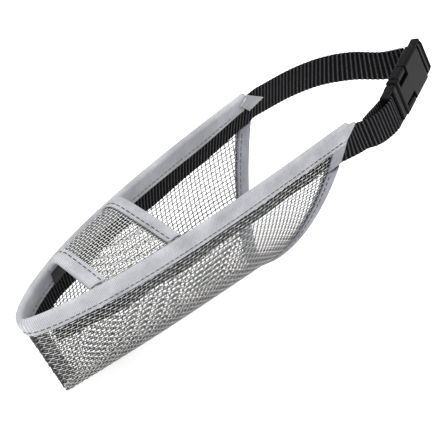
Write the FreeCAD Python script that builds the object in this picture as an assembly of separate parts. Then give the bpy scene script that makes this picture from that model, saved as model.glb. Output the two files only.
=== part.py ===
"""Soft mesh grooming muzzle with a neck strap and a side-release buckle.

A sheet of open mesh is folded into a trough, sewn up at the nose and bound with tape
along its rim and its throat edge.  A band of the same mesh crosses over the snout, and
webbing sewn inside both sides runs on behind the trough as the neck strap.

Units are millimetres.  X runs from the nose to the neck, +Y is the wearer's right,
+Z is up.  The origin is the middle of the rim at the very nose.
"""
import FreeCAD, Part
import math
import os

Vector = FreeCAD.Vector
os.makedirs("parts", exist_ok=True)

# ---------------------------------------------------------------- driving dimensions
rim_length = 195.0          # nose to the rim's rear tips
rim_half_width = 28.5       # the width that the rim spreads towards
rim_spread = 3.4            # how quickly the rim widens behind the nose
nose_bluntness = 0.06       # larger is rounder in plan
rim_rise = 27.0             # height of the tips above the nose
keel_front = (30.0, -50.0)  # x and z of the lower front corner
keel_rear = (166.0, -42.0)  # x and z of the throat edge's lowest point
throat_bulge = 0.62         # below 1, the throat edge bows backwards
section_power = 1.8         # 2 is an ellipse, lower is nearer to a V

mesh_thickness = 0.7
webbing_width = 15.0
webbing_thickness = 1.3
tape_thickness = 0.8
binding_width = 8.5
webbing_drop = 3.5          # rim to the webbing's upper edge
webbing_tip_drop = 0.4      # the same at the right tip, where the webbing rises to the rim
webbing_start = 9.0         # distance behind the nose at which the webbing begins
tip_run = 45.0              # length over which webbing and tape change towards a tip
tape_taper = 0.3            # share of its width that the rim tape loses at the right tip
seam_half_gap = 0.9         # half the slit that the nose seam closes
layer_gap = 0.1             # between sewn layers
moving_gap = 0.4            # between pieces that move past each other
right_tape_end = 0.97       # share of the rim at which its tape ends on the right

band_front = 33.0           # nose band's front and rear edges along X
band_rear = 86.0
band_rise = 8.0             # arch of the nose band, highest towards the right side

pivot_x = rim_length + moving_gap + webbing_width / 2
buckle_centre = Vector(253.9, -15.7, 19.7)
buckle_turn = 21.0          # degrees from +X towards +Y, seen from above
buckle_pitch = 8.0          # degrees that its rear end is raised
buckle_lean = 19.0          # degrees that its lower edge stands out
buckle_half_length = 25.0
buckle_half_width = 9.5
buckle_half_thickness = 3.0

# ---------------------------------------------------------------- sewn layers
mesh_face = mesh_thickness / 2
webbing_inner = mesh_face + layer_gap + webbing_thickness
webbing_middle = webbing_inner - webbing_thickness / 2
binding_outer = mesh_face + layer_gap + tape_thickness
binding_inner = webbing_inner + layer_gap + tape_thickness
strap_half = webbing_width / 2


# ---------------------------------------------------------------- the trough's shape
def rim_x(q):
    """Distance behind the nose at share q of the rim, 0 at the nose and 1 at a tip."""
    return rim_length * (1 + nose_bluntness) * q * q / (q + nose_bluntness)


def rim_y(q):
    return rim_half_width * (1 - math.exp(-rim_spread * q))


def rim_z(q):
    return rim_rise * (rim_x(q) / rim_length) ** 0.8


def rim_share(x):
    """The share q of the rim at distance x behind the nose."""
    a = x / (rim_length * (1 + nose_bluntness))
    return (a + math.sqrt(a * a + 4 * a * nose_bluntness)) / 2


def wall_depth(q, layer=0.0):
    keel_z = keel_front[1] + (keel_rear[1] - keel_front[1]) * rim_x(q) / rim_length
    return rim_z(q) - keel_z - layer


def wall(q, side, drop, layer, gap=None):
    """A point of the trough's wall.

    side is -1 on the left and +1 on the right, drop is the distance below the rim, and
    layer is the distance inside the middle of the mesh.  gap replaces the half width
    of the slit at the nose.
    """
    depth = wall_depth(q, layer)
    height = max(0.0, 1 - drop / depth)
    keel_x = keel_front[0] + (keel_rear[0] - keel_front[0]) * rim_x(q) / rim_length
    bow = 1 + (throat_bulge - 1) * min(1.5 * q, 1)
    facing = math.exp(-rim_y(q) / 2.5)
    length = math.hypot(facing, 1 - facing)
    half = rim_y(q) + (seam_half_gap if gap is None else gap) - layer * (1 - facing) / length
    drop_share = min(1.0, max(0.0, drop / depth))
    x = keel_x + (rim_x(q) - keel_x) * height ** bow + layer * facing / length
    if drop < 0:
        x = rim_x(q) + layer * facing / length
    y = side * half * (1 - drop_share ** section_power) ** (1 / section_power)
    return Vector(x, y, rim_z(q) - drop)


def tip_share(q):
    """0 ahead of the tips, rising smoothly to 1 at the tip itself."""
    t = min(1.0, max(0.0, (rim_x(q) - rim_length + tip_run) / tip_run))
    return t * t * (3 - 2 * t)


def webbing_top(q, side):
    """Distance from the rim down to the sewn webbing's upper edge."""
    if side < 0:
        return webbing_drop
    return webbing_drop + (webbing_tip_drop - webbing_drop) * tip_share(q)


def root_z(side):
    """Height of the webbing's middle where it leaves a tip."""
    return rim_rise - webbing_top(1, side) - webbing_width / 2


def rim_wall(q_signed, drop, layer):
    """As wall, but running without a break round the nose: q_signed is below 0 on the left."""
    q = abs(q_signed)
    side = -1 if q_signed < 0 else 1
    return wall(q, side, drop, layer, seam_half_gap * (1 - math.exp(-rim_y(q) / 2)))


# ---------------------------------------------------------------- solids from grids
def spaced(first, last, count):
    return [first + (last - first) * i / (count - 1) for i in range(count)]


def shares(lines):
    """Mean spacing of the points along a family of lines, as shares from 0 to 1."""
    steps = [0.0] * (len(lines[0]) - 1)
    for line in lines:
        lengths = [(b - a).Length for a, b in zip(line, line[1:])]
        total = sum(lengths) * len(lines)
        steps = [step + length / total for step, length in zip(steps, lengths)]
    return [sum(steps[:i]) / sum(steps) for i in range(len(steps))] + [1.0]


def curve_through(points, parameters):
    curve = Part.BSplineCurve()
    curve.interpolate(Points=points, Parameters=parameters)
    return curve


def surface_through(grid, across, down):
    """Smooth surface through a grid; across and down are its shares along rows and columns."""
    rows = [curve_through(row, across) for row in grid]
    lines = [curve_through(list(poles), down) for poles in zip(*(row.getPoles() for row in rows))]
    poles = [list(row) for row in zip(*(line.getPoles() for line in lines))]
    surface = Part.BSplineSurface()
    surface.buildFromPolesMultsKnots(poles, lines[0].getMultiplicities(),
                                     rows[0].getMultiplicities(), lines[0].getKnots(),
                                     rows[0].getKnots(), False, False,
                                     lines[0].Degree, rows[0].Degree)
    return surface


def ruled(one, other):
    """Face of straight lines between two curves with the same knots."""
    surface = Part.BSplineSurface()
    surface.buildFromPolesMultsKnots([one.getPoles(), other.getPoles()], [2, 2],
                                     one.getMultiplicities(), [0.0, 1.0], one.getKnots(),
                                     False, False, 1, one.Degree)
    return surface.toShape()


def columns(grid):
    return [list(column) for column in zip(*grid)]


def slab(front, back):
    """Closed solid between two grids of points, joined by ruled faces along their edges."""
    across = shares(front + back)
    down = shares(columns(front) + columns(back))
    one, other = (surface_through(grid, across, down) for grid in (front, back))
    faces = [one.toShape(), other.toShape()]
    for end in (0.0, 1.0):
        faces.append(ruled(one.uIso(end), other.uIso(end)))
        faces.append(ruled(one.vIso(end), other.vIso(end)))
    shell = Part.makeShell(faces)
    shell.sewShape(0.01)
    solid = Part.makeSolid(Part.Shell(shell.Faces))
    if solid.Volume < 0:
        solid.reverse()
    return solid


def fold_profile(outer, inner, width, top, count=7):
    """Section of a folded tape as (drop, layer) pairs, from its outer edge over the fold."""
    middle = (inner - outer) / 2
    radius = (inner + outer) / 2
    lower = [(drop, -outer) for drop in spaced(width, top + radius + 0.6, 3)]
    arc = []
    for angle in spaced(0, math.pi, count):
        arc.append((top + radius * (1 - math.sin(angle)), middle - radius * math.cos(angle)))
    upper = [(drop, inner) for drop in spaced(top + radius + 0.6, width, 3)]
    return lower + arc + upper


def folded_tape(point, stations, outer, inner, width, top=-1.2):
    """A tape folded over an edge; point(station, drop, layer) places its section."""
    outside = fold_profile(outer, inner, width, top)
    inside = fold_profile(outer - tape_thickness, inner - tape_thickness, width,
                          top + tape_thickness)
    outer_grid = [[point(s, drop, layer) for drop, layer in outside] for s in stations]
    inner_grid = [[point(s, drop, layer) for drop, layer in inside] for s in stations]
    return slab(outer_grid, inner_grid)


def wall_patch(side, q_range, drops_at, layer, thickness, stations=12):
    """A flat piece sewn on one side wall; drops_at(q) is its upper and lower edge."""
    grids = []
    for depth in (layer, layer + thickness):
        grids.append([[wall(q, side, drop, depth) for drop in spaced(*drops_at(q), 4)]
                      for q in spaced(*q_range, stations)])
    return slab(*grids)


# ---------------------------------------------------------------- pieces of the trough
throat_clearance = 1.0      # between the webbing's lower edge and the throat binding's end


def mesh_trough():
    rim_drop = 0.3
    angles = spaced(-math.pi / 2, math.pi / 2, 25)
    grids = []
    for layer in (-mesh_face, mesh_face):
        grid = []
        for q in spaced(0, 1, 25):
            depth = wall_depth(q, layer)
            row = []
            for angle in angles:
                share = math.cos(angle) ** (2 / section_power)
                side = -1 if angle < 0 else 1
                row.append(wall(q, side, rim_drop + (depth - rim_drop) * share, layer))
            grid.append(row)
        grids.append(grid)
    return slab(*grids)


def nose_seam_tape():
    """Tape that closes the slit at the nose, standing inwards along the seam."""
    tape_depth = 5.0
    rise_inwards = 0.6
    low_end, high_end = 0.25, 0.82
    half = seam_half_gap / 2
    heights = spaced(low_end, high_end, 6)
    grids = []
    for y in (-half, half):
        grid = []
        for height in heights:
            x = keel_front[0] * (1 - height)
            z = keel_front[1] * (1 - height)
            grid.append([Vector(x + step, y, z + rise_inwards * step)
                         for step in spaced(0, tape_depth, 4)])
        grids.append(grid)
    return slab(*grids)


def rim_turns(left_end, right_end):
    """Stations round the rim from the left tip to the right one, closer at the nose."""
    return [math.copysign(abs(s) ** 1.3, s) for s in spaced(-left_end, right_end, 61)]


def rim_tape(q_signed, drop, layer):
    """As rim_wall, but narrowing towards the right tip."""
    if q_signed > 0 and drop > 0:
        drop = drop * (1 - tape_taper * tip_share(q_signed))
    return rim_wall(q_signed, drop, layer)


def rim_binding():
    return folded_tape(rim_tape, rim_turns(1, right_tape_end), binding_outer, binding_inner,
                       binding_width)


def throat_point(angle, inset, layer):
    """A point near the throat edge; inset is the distance in front of the edge."""
    q = rim_share(rim_length - inset)
    depth = wall_depth(q, layer)
    side = -1 if angle < 0 else 1
    return wall(q, side, depth * math.cos(angle) ** (2 / section_power), layer)


def throat_limit(side):
    """The angle at which the throat binding ends, just under the webbing."""
    drop = webbing_top(1, side) + webbing_width + throat_clearance
    return math.acos((drop / wall_depth(1)) ** (section_power / 2))


def throat_turns(margin=0.0):
    """Angles round the throat edge from under the left webbing to under the right one."""
    return spaced(margin - throat_limit(-1), throat_limit(1) - margin, 31)


def throat_binding():
    return folded_tape(throat_point, throat_turns(), binding_outer, binding_outer, binding_width)


def side_webbing(side):

    def drops_at(q):
        return webbing_top(q, side), webbing_top(q, side) + webbing_width

    return wall_patch(side, (rim_share(webbing_start), 1.0), drops_at, mesh_face + layer_gap,
                      webbing_thickness, 25)


def throat_tab(side):
    """End of the throat binding, turned up over the outside of the mesh at a tip."""
    top = binding_width + 0.3
    bottom = webbing_top(1, side) + webbing_width
    overhang = 0.6
    q_range = (rim_share(rim_length - binding_width), rim_share(rim_length + overhang))
    return wall_patch(side, q_range, lambda q: (top, bottom), -binding_outer, tape_thickness)


def left_tip_tab():
    """Pointed end of the rim binding, behind the left tip and outside the strap."""
    start, length = 0.3, 4.0
    upper_edge = -1.0
    taper = 0.75 * binding_width
    outside = rim_y(1) + seam_half_gap + mesh_face + tape_thickness
    grids = []
    for y in (outside, outside - tape_thickness):
        grid = []
        for step in spaced(start, length, 5):
            lower_edge = binding_width - taper * step / length
            grid.append([Vector(rim_length + step, -y, rim_rise - drop)
                         for drop in spaced(upper_edge, lower_edge, 4)])
        grids.append(grid)
    return slab(*grids)


def right_tip_tab():
    """Cut end of the rim binding, folded down inside the right tip and sewn flat."""
    # Corners as (distance ahead of the tip, distance below the rim).
    front_top, front_bottom = (5.5, 0.6), (11.8, 3.5)
    rear_top, rear_bottom = (-3.0, 5.6), (7.0, 8.3)
    clearance = 0.4         # the piece lies flat while the binding curves away in front
    sewn_on = rim_y(1) + seam_half_gap - binding_inner - clearance
    grids = []
    for y in (sewn_on, sewn_on - tape_thickness):
        grid = []
        for a in spaced(0, 1, 5):
            row = []
            for b in spaced(0, 1, 4):
                top = [f + (r - f) * a for f, r in zip(front_top, rear_top)]
                bottom = [f + (r - f) * a for f, r in zip(front_bottom, rear_bottom)]
                ahead, drop = (t + (u - t) * b for t, u in zip(top, bottom))
                row.append(Vector(rim_length - ahead, y, rim_rise - drop))
            grid.append(row)
        grids.append(grid)
    return slab(*grids)


def band_patch(side):
    """Folded end of the nose band, tacked down inside the rim at the band's front edge."""
    inset, length = 1.0, 10.0
    top, bottom = 2.5, 8.3
    q_range = (rim_share(band_front + inset), rim_share(band_front + inset + length))
    return wall_patch(side, q_range, lambda q: (top, bottom), binding_inner + layer_gap,
                      tape_thickness)


# ---------------------------------------------------------------- nose band
band_clearance = 0.35       # between the band's ends and the rim binding


def band_surface(x, across, lift=0.0):
    """A point of the nose band: across runs from -1 on the left to +1 on the right."""
    q = rim_share(x)
    reach = rim_y(q) + seam_half_gap - binding_inner - band_clearance

    def flat(t):
        rise = band_rise * (1 - t ** 6) * (1 + t) / 2
        return Vector(0, reach * t, rim_z(q) + rise)

    step = 0.01
    slope = (flat(across + step) - flat(across - step)).normalize()
    normal = Vector(0, -slope.z, slope.y)
    place = flat(across) + normal * lift
    return Vector(x, place.y, place.z)


def nose_band_mesh():
    inset = 1.0
    grids = []
    for lift in (mesh_face, -mesh_face):
        grids.append([[band_surface(x, t, lift) for t in spaced(-1, 1, 21)]
                      for x in spaced(band_front + inset, band_rear - inset, 9)])
    return slab(*grids)


def nose_band_binding(edge, direction):
    """Tape folded over one edge of the nose band; direction points into the band."""

    def point(across, inset, layer):
        return band_surface(edge + direction * inset, across, layer)

    return folded_tape(point, spaced(-1, 1, 21), binding_outer, binding_outer, binding_width, 0.0)


# ---------------------------------------------------------------- threads
thread_size = 0.35
thread_gap = 0.05           # between a thread and the tape it lies on
stitch_inset = 2.0          # stitch line to the tape's free edge


def rim_thread():
    """Line of stitching along the rim binding, just above its lower edge."""
    drop = binding_width - stitch_inset
    turns = rim_turns(0.97, 0.96)
    grids = []
    for layer in (-binding_outer - thread_size, -binding_outer - thread_gap):
        grids.append([[rim_tape(s, d, layer) for d in spaced(drop, drop + thread_size, 3)]
                      for s in turns])
    return slab(*grids)


def throat_thread():
    inset = binding_width - stitch_inset
    grids = []
    for layer in (-binding_outer - thread_size, -binding_outer - thread_gap):
        grids.append([[throat_point(a, d, layer) for d in spaced(inset, inset + thread_size, 3)]
                      for a in throat_turns(0.02)])
    return slab(*grids)


def band_threads():
    inset = binding_width - stitch_inset
    lines = []
    for edge, direction in ((band_front, 1), (band_rear, -1)):
        grids = []
        for lift in (binding_outer + thread_size, binding_outer + thread_gap):
            grid = []
            for t in spaced(-0.95, 0.95, 19):
                grid.append([band_surface(edge + direction * d, t, lift)
                             for d in spaced(inset, inset + thread_size, 3)])
            grids.append(grid)
        lines.append(slab(*grids))
    return Part.makeCompound(lines)


# ---------------------------------------------------------------- neck strap
turn = math.radians(buckle_turn)
pitch = math.radians(buckle_pitch)
lean = math.radians(buckle_lean)
level = Vector(math.cos(turn), math.sin(turn), 0)
outward = Vector(math.sin(turn), -math.cos(turn), 0)
along = level * math.cos(pitch) + Vector(0, 0, math.sin(pitch))
upright = outward.cross(along)
across = upright * math.cos(lean) - outward * math.sin(lean)
facing_out = outward * math.cos(lean) + upright * math.sin(lean)

bar_offset = 22.9           # centre of each end bar from the buckle's middle
bar_wrap = 2.6              # centre of a bar to the middle of the webbing round it
tail_gap = 0.4              # room between the strap and its tail
tail_sag = 1.0              # how much lower the tail lies than the strap
root_straight = 4.0         # straight run of a strap behind its swing line
right_strap_bends = ((224.0, 26.4), (240.0, 22.6), (252.5, 15.2), (263.4, 3.2))  # x and y
left_bow = ((212.0, 1.6), (221.0, 1.6))      # x, and how far it bows out from its root
left_return = ((220.0, 2.4), (212.0, 0.2))   # the same for its inner layer, inwards


def on_buckle(u, w):
    """A point of the buckle's middle plane: u along it, w towards its outer face."""
    return buckle_centre + along * u + facing_out * w


def smooth(points, count):
    """Evenly spaced points on a smooth curve through the given points."""
    curve = Part.BSplineCurve()
    curve.interpolate(points)
    return curve.discretize(count)


def ribbon(path, turned_at):
    """Webbing on edge along a path; turned_at(share) is 0 upright, 1 as the buckle leans."""
    count = len(path)
    grids = ([], [])
    for i, place in enumerate(path):
        ahead = path[min(i + 1, count - 1)] - path[max(i - 1, 0)]
        ahead.normalize()
        side = ahead.cross(Vector(0, 0, 1)).normalize()
        turned = turned_at(i / (count - 1))
        up = (Vector(0, 0, 1 - turned) + across * turned).normalize()
        face = up.cross(ahead).normalize()
        if face.dot(side) < 0:
            face = face * -1
        for grid, offset in zip(grids, (-webbing_thickness / 2, webbing_thickness / 2)):
            grid.append([place + face * offset + up * v
                         for v in spaced(-strap_half, strap_half, 3)])
    return slab(*grids)


def root_disc(side):
    """Rounded end of a strap, centred on the line that the neck strap swings about."""
    corner = Vector(pivot_x, side * strap_y() - webbing_thickness / 2, root_z(side))
    return Part.makeCylinder(strap_half, webbing_thickness, corner, Vector(0, 1, 0))


def strap_y():
    return rim_y(1) + seam_half_gap - webbing_middle


def strap_route():
    """Points of the right strap's middle, from its swing line to the socket's slot."""
    y = strap_y()
    z = root_z(1)
    root = [Vector(pivot_x, y, z), Vector(pivot_x + root_straight, y, z)]
    bends = [Vector(bend_x, bend_y, z) for bend_x, bend_y in right_strap_bends]
    return root + bends + [on_buckle(bar_offset - bar_wrap, -bar_wrap - 2.4)]


def strap_turned(share):
    """How far the right strap has turned to the buckle's lean at a share of its length."""
    return max(0.0, (share - 0.5) / 0.5) ** 1.5


def right_neck_strap():
    """Webbing from the right tip round the back of the neck to the buckle's socket."""
    path = smooth(strap_route(), 33)
    return ribbon(path, strap_turned).fuse(root_disc(1)).removeSplitter()


def left_strap_loop():
    """Doubled webbing from the left tip, round the plug's end bar and back."""
    y = -strap_y()
    z = root_z(-1)
    bar = -bar_offset
    legs = [Vector(pivot_x, y, z), Vector(pivot_x + root_straight, y, z)]
    legs += [Vector(bend_x, y - bow, z) for bend_x, bow in left_bow]
    fold = []
    for angle in spaced(90, -90, 7):
        turned = math.radians(angle)
        fold.append(on_buckle(bar + bar_wrap * math.cos(turned), bar_wrap * math.sin(turned)))
    back = [Vector(bend_x, y + bow, z) for bend_x, bow in left_return]
    path = smooth(legs + fold + back, 61)

    def turned_at(share):
        return min(1.0, share / 0.15)

    return ribbon(path, turned_at).fuse(root_disc(-1)).removeSplitter()


def strap_fold():
    """The end of the right strap, up through the socket's slot and over its end bar."""
    bar = bar_offset
    path = [on_buckle(bar - bar_wrap, w) for w in spaced(-bar_wrap - 1.8, -0.5, 4)]
    for angle in spaced(180, 0, 9):
        turned = math.radians(angle)
        path.append(on_buckle(bar + bar_wrap * math.cos(turned), bar_wrap * math.sin(turned)))
    path.append(on_buckle(bar + bar_wrap, -2.0))
    return folded_ribbon(path)


def strap_tail():
    """The strap's sewn tail, lying along the outside of the strap behind the buckle."""
    count = 33
    strap = smooth(strap_route(), count)
    path = []
    for i in range(count - 3, count - 15, -1):
        ahead = (strap[i + 1] - strap[i - 1]).normalize()
        outside = Vector(-ahead.y, ahead.x, 0).normalize()
        sag = Vector(0, 0, -tail_sag)
        path.append(strap[i] + outside * (webbing_thickness + tail_gap) + sag)

    def turned_at(share):
        return strap_turned((count - 3 - 11 * share) / (count - 1))

    return ribbon(path, turned_at)


def folded_ribbon(path):
    """Webbing bent in the buckle's own plane, with its edges along the buckle's width."""
    grids = ([], [])
    count = len(path)
    for i, place in enumerate(path):
        ahead = (path[min(i + 1, count - 1)] - path[max(i - 1, 0)]).normalize()
        face = across.cross(ahead).normalize()
        for grid, offset in zip(grids, (-webbing_thickness / 2, webbing_thickness / 2)):
            grid.append([place + face * offset + across * v
                         for v in spaced(-strap_half, strap_half, 3)])
    return slab(*grids)


# ---------------------------------------------------------------- buckle
def block(u, v, w, round_by=0.0):
    """Box on the buckle's own axes with rounded edges; u, v and w are (low, high) pairs."""
    box = Part.makeBox(u[1] - u[0], v[1] - v[0], w[1] - w[0], Vector(u[0], v[0], w[0]))
    if round_by:
        box = box.makeFillet(round_by, box.Edges)
    return box


def placed(shape):
    """Move a shape from the buckle's own axes to its place on the strap."""
    matrix = FreeCAD.Matrix(along.x, across.x, facing_out.x, buckle_centre.x,
                            along.y, across.y, facing_out.y, buckle_centre.y,
                            along.z, across.z, facing_out.z, buckle_centre.z)
    moved = shape.copy()
    moved.Placement = FreeCAD.Placement(matrix)
    return moved


edge_round = 1.3            # rounding of the moulded plastic's edges
socket_rear = 18.6          # end of the socket's box, where its slot begins
mouth = -13.0               # the socket's open end
cavity_half_width = 7.6
cavity_half_height = 1.6
window = (-10.5, 1.0)       # side openings that the prongs' grips fill
window_depth = 4.5          # from the middle of the buckle outwards
base_front = -13.5          # the plug's face towards the socket
base_rear = -18.0           # where the plug's slot begins
base_half_width = 9.0
base_half_thickness = 2.6
slot_half_width = 7.9
rail_half_width = 9.1
rail_half_thickness = 2.2
rail_overlap = 2.8          # how far the rails run into the body ahead of the slot
bar_half = 1.35             # half the end bars' width along the buckle
bar_half_thickness = 1.2
tongue_end = 9.0
tongue_half_width = 2.0
prong_half_height = cavity_half_height - 0.25
prong_pivot = (base_front + 1.8, 5.9)   # u and v of the root that each prong flexes at
prong_root_radius = 1.2
arm_half_width = 1.0
grip_reach = (6.4, 9.9)     # inner and outer side of a prong's grip
grip_half_height = 2.7
clear = 14.0                # further out than any part of the buckle


def webbing_frame(direction, start):
    """Two rails and the bar that webbing folds round; direction is +1 behind the socket."""
    low, high = sorted((direction * start, direction * buckle_half_length))
    frame = block((low, high), (-rail_half_width, rail_half_width),
                  (-rail_half_thickness, rail_half_thickness), 0.9)
    low, high = sorted((direction * (start + rail_overlap), direction * 2 * buckle_half_length))
    frame = frame.cut(block((low, high), (-slot_half_width, slot_half_width), (-clear, clear)))
    bar_u = direction * bar_offset
    bar = block((bar_u - bar_half, bar_u + bar_half),
                (-slot_half_width - 0.5, slot_half_width + 0.5),
                (-bar_half_thickness, bar_half_thickness), 0.5)
    return frame.fuse(bar)


def buckle_socket():
    body = block((mouth, socket_rear), (-buckle_half_width, buckle_half_width),
                 (-buckle_half_thickness, buckle_half_thickness), edge_round)
    solid = body.fuse(webbing_frame(1, socket_rear - rail_overlap))
    cavity = block((mouth - 1, 14.0), (-cavity_half_width, cavity_half_width),
                   (-cavity_half_height, cavity_half_height))
    solid = solid.cut(cavity)
    for side in (-1, 1):
        near, far = sorted((side * window_depth, side * clear))
        solid = solid.cut(block(window, (near, far), (-clear, clear)))
    return placed(solid.removeSplitter())


def plug_base():
    body = block((base_rear, base_front), (-base_half_width, base_half_width),
                 (-base_half_thickness, base_half_thickness), 1.0)
    tongue = block((base_front - 2, tongue_end), (-tongue_half_width, tongue_half_width),
                   (-prong_half_height, prong_half_height), 0.8)
    solid = body.fuse(webbing_frame(-1, -base_rear - rail_overlap)).fuse(tongue)
    return placed(solid.removeSplitter())


def prong(side):
    """One springy arm of the plug, with the grip that shows in the socket's side window."""
    root_u, root_v = prong_pivot
    root = Part.makeCylinder(prong_root_radius, 2 * prong_half_height,
                             Vector(root_u, side * root_v, -prong_half_height), Vector(0, 0, 1))
    low, high = sorted((side * (root_v - arm_half_width), side * (root_v + arm_half_width)))
    arm = block((root_u, window[1] - 0.9), (low, high), (-prong_half_height, prong_half_height))
    low, high = sorted((side * grip_reach[0], side * grip_reach[1]))
    grip = block((window[0] + 0.5, window[1] - 0.5), (low, high),
                 (-grip_half_height, grip_half_height), edge_round)
    return placed(root.fuse(arm).fuse(grip).removeSplitter())


# ---------------------------------------------------------------- write the pieces
pieces = {
    "mesh_trough": mesh_trough,
    "nose_seam_tape": nose_seam_tape,
    "rim_binding": rim_binding,
    "throat_binding": throat_binding,
    "nose_band_mesh": nose_band_mesh,
    "nose_band_front_binding": lambda: nose_band_binding(band_front, 1),
    "nose_band_rear_binding": lambda: nose_band_binding(band_rear, -1),
    "left_side_webbing": lambda: side_webbing(-1),
    "right_side_webbing": lambda: side_webbing(1),
    "left_throat_tab": lambda: throat_tab(-1),
    "right_throat_tab": lambda: throat_tab(1),
    "left_tip_tab": left_tip_tab,
    "right_tip_tab": right_tip_tab,
    "left_band_patch": lambda: band_patch(-1),
    "right_band_patch": lambda: band_patch(1),
    "rim_thread": rim_thread,
    "throat_thread": throat_thread,
    "nose_band_threads": band_threads,
    "right_neck_strap": right_neck_strap,
    "left_strap_loop": left_strap_loop,
    "strap_fold": strap_fold,
    "strap_tail": strap_tail,
    "buckle_socket": buckle_socket,
    "plug_base": plug_base,
    "upper_prong": lambda: prong(1),
    "lower_prong": lambda: prong(-1),
}

for name, make in pieces.items():
    shape = make()
    print(f"{name:26s} volume {shape.Volume:9.1f}  solids {len(shape.Solids)}  "
          f"valid {shape.isValid()}")
    shape.exportStep(f"parts/{name}.step")
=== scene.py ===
import math

import bpy
import numpy as np
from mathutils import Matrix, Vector


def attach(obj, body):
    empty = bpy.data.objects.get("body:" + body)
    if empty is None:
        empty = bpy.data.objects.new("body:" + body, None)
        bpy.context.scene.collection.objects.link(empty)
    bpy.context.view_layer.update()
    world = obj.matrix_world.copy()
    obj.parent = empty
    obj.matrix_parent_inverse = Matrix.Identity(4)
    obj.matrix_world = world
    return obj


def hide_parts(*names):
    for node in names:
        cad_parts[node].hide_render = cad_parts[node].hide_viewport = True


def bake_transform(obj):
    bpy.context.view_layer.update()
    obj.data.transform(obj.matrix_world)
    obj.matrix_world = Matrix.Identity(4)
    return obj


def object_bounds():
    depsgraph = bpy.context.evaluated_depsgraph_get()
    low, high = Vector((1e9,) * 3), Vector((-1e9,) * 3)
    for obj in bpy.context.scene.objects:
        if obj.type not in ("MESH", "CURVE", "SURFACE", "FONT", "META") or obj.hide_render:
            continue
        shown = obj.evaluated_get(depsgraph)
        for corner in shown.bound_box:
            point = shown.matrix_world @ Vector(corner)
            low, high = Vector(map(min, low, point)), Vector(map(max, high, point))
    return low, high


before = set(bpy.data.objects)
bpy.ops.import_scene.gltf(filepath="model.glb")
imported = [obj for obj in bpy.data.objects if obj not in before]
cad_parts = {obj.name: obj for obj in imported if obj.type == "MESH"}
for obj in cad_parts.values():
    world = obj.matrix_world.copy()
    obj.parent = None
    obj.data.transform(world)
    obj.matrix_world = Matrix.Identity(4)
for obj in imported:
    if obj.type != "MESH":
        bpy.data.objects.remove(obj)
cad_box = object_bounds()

# Shape formulas work in millimetres, as the CAD does; meshes are scaled to metres last.
MM = 0.001

# ------------ dimensions of the muzzle
RIM_LENGTH = 195.0
RIM_HALF_WIDTH = 28.5
RIM_SPREAD = 3.4  # how quickly the two rims part behind the nose
NOSE_BLUNTNESS = 0.06
NOSE_TURN = 2.5  # half width over which the wall turns from front to side
RIM_RISE = 27.0  # height of the tips above the nose
RIM_CURVE = 0.8  # power of the rise along the rim
KEEL_FRONT = (30.0, -50.0)
KEEL_REAR = (166.0, -42.0)
THROAT_BULGE = 0.62  # power of the throat edge's curve, 1 for a straight edge
BULGE_GROWTH = 1.5  # how quickly the wall's lines take on that curve behind the nose
SECTION_POWER = 1.8  # 2 for an elliptic section
FARTHEST_SHARE = 1.05  # share of the rim at which a search over the wall ends

MESH_THICKNESS = 0.7
WEBBING_WIDTH = 15.0
WEBBING_THICKNESS = 1.3
TAPE_THICKNESS = 0.8
BINDING_WIDTH = 8.5
WEBBING_DROP = 3.5  # drop of the sewn webbing's upper edge below the rim
WEBBING_TIP_DROP = 0.4  # the same at the right tip
TIP_RUN = 45.0  # length ahead of a tip over which webbing and tape change
TAPE_TAPER = 0.3  # share of its width that the rim tape loses at the right tip
RIGHT_TAPE_END = 0.97  # where rim_stations ends the rim tape on the right, 1 at the tip
SEAM_HALF_GAP = 0.9
SEAM_CLOSING = 2.0  # half width over which that gap closes towards the nose
LAYER_GAP = 0.1
BAND_FRONT = 33.0
BAND_REAR = 86.0
BAND_RISE = 8.0
BAND_CLEARANCE = 0.35  # between the band's ends and the rim tape
BAND_END_POWER = 6  # how late the band's arch comes down at its ends

PIVOT_GAP = 0.4  # between the tips and the webbing that swings behind them
PIVOT_X = RIM_LENGTH + PIVOT_GAP + WEBBING_WIDTH / 2
BUCKLE_CENTRE = np.array([253.9, -15.7, 19.7])
BUCKLE_TURN = math.radians(21.0)
BUCKLE_PITCH = math.radians(8.0)
BUCKLE_LEAN = math.radians(19.0)
BAR_OFFSET = 22.9  # from the buckle's centre to the bars that hold the webbing
BAR_WRAP = 2.6  # radius of the webbing's middle round a bar

# Distances from the middle of the mesh.
MESH_FACE = MESH_THICKNESS / 2
WEBBING_INNER = MESH_FACE + LAYER_GAP + WEBBING_THICKNESS
WEBBING_MIDDLE = WEBBING_INNER - WEBBING_THICKNESS / 2
TAPE_ON_MESH = MESH_FACE + LAYER_GAP + TAPE_THICKNESS
TAPE_ON_WEBBING = WEBBING_INNER + LAYER_GAP + TAPE_THICKNESS


# ------------ the trough's shape
def same_shape(*values):
    """The values as arrays of numbers that all have one shape."""
    return np.broadcast_arrays(*(np.asarray(value, float) for value in values))


def rim_x(q):
    """x of the rim; q runs from 0 at the nose to 1 at a tip."""
    return RIM_LENGTH * (1 + NOSE_BLUNTNESS) * q * q / (q + NOSE_BLUNTNESS)


def rim_y(q):
    return RIM_HALF_WIDTH * (1 - np.exp(-RIM_SPREAD * q))


def rim_z(q):
    return RIM_RISE * (rim_x(q) / RIM_LENGTH) ** RIM_CURVE


def rim_share(x):
    """The q at which the rim reaches x."""
    a = np.asarray(x, float) / (RIM_LENGTH * (1 + NOSE_BLUNTNESS))
    return (a + np.sqrt(a * a + 4 * a * NOSE_BLUNTNESS)) / 2


def keel_z(x):
    slope = (KEEL_REAR[1] - KEEL_FRONT[1]) / (KEEL_REAR[0] - KEEL_FRONT[0])
    return KEEL_FRONT[1] + slope * (x - KEEL_FRONT[0])


def keel_x(q):
    return KEEL_FRONT[0] + (KEEL_REAR[0] - KEEL_FRONT[0]) * rim_x(q) / RIM_LENGTH


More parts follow.
